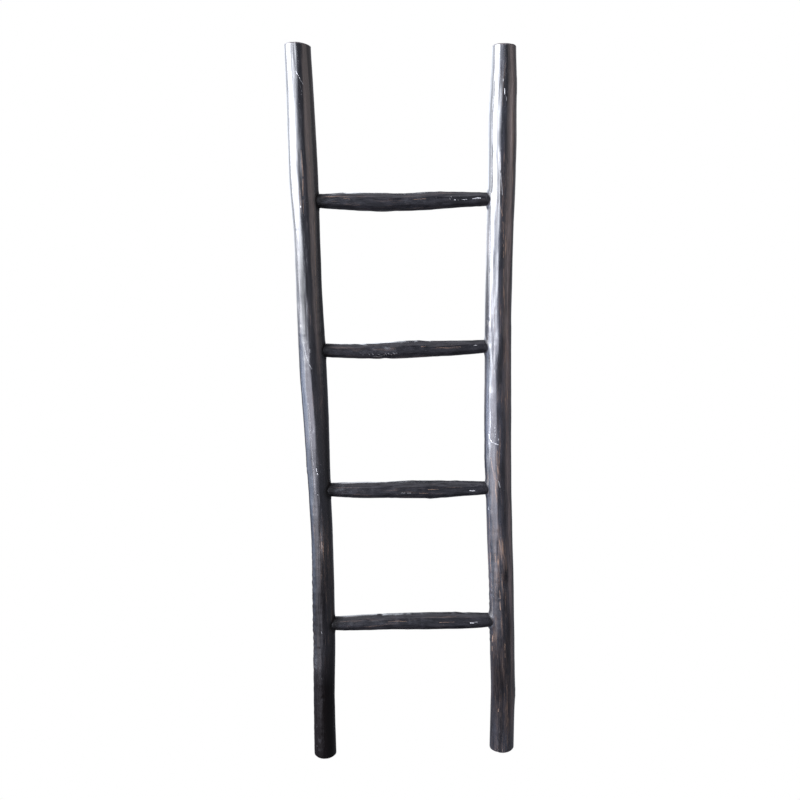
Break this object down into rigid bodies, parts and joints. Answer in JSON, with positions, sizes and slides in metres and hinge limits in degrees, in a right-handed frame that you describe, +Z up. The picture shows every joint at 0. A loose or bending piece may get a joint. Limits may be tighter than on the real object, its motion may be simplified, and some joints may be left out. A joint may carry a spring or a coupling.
{
  "type": "decorative ladder",
  "caption": "Rustic black-stained ladder of naturally grown poles joined by whittled stick rungs, for leaning on a wall and hanging towels, throws or magazines.",
  "frame": {"origin": "on the floor, midway between the outer sides of the rails and midway through the depth, with the ladder upright", "axes": "+Z up along the rails, +X to the right along the rungs as seen from the front, -Y to the front"},
  "size_m": [0.4515, 0.061, 1.5],
  "materials": {
    "rail_wood": "satin black stain, rubbed through to brown along the grain",
    "rung_wood": "satin black stain, rubbed through to brown along the grain",
    "nail_steel": "dull bright wire nail"
  },
  "bodies": {
    "root": {"left_rail": "rail_wood", "right_rail": "rail_wood", "bottom_rung": "rung_wood", "lower_rung": "rung_wood", "upper_rung": "rung_wood", "top_rung": "rung_wood", "left_nails": "nail_steel", "right_nails": "nail_steel"}
  },
  "joints": []
}
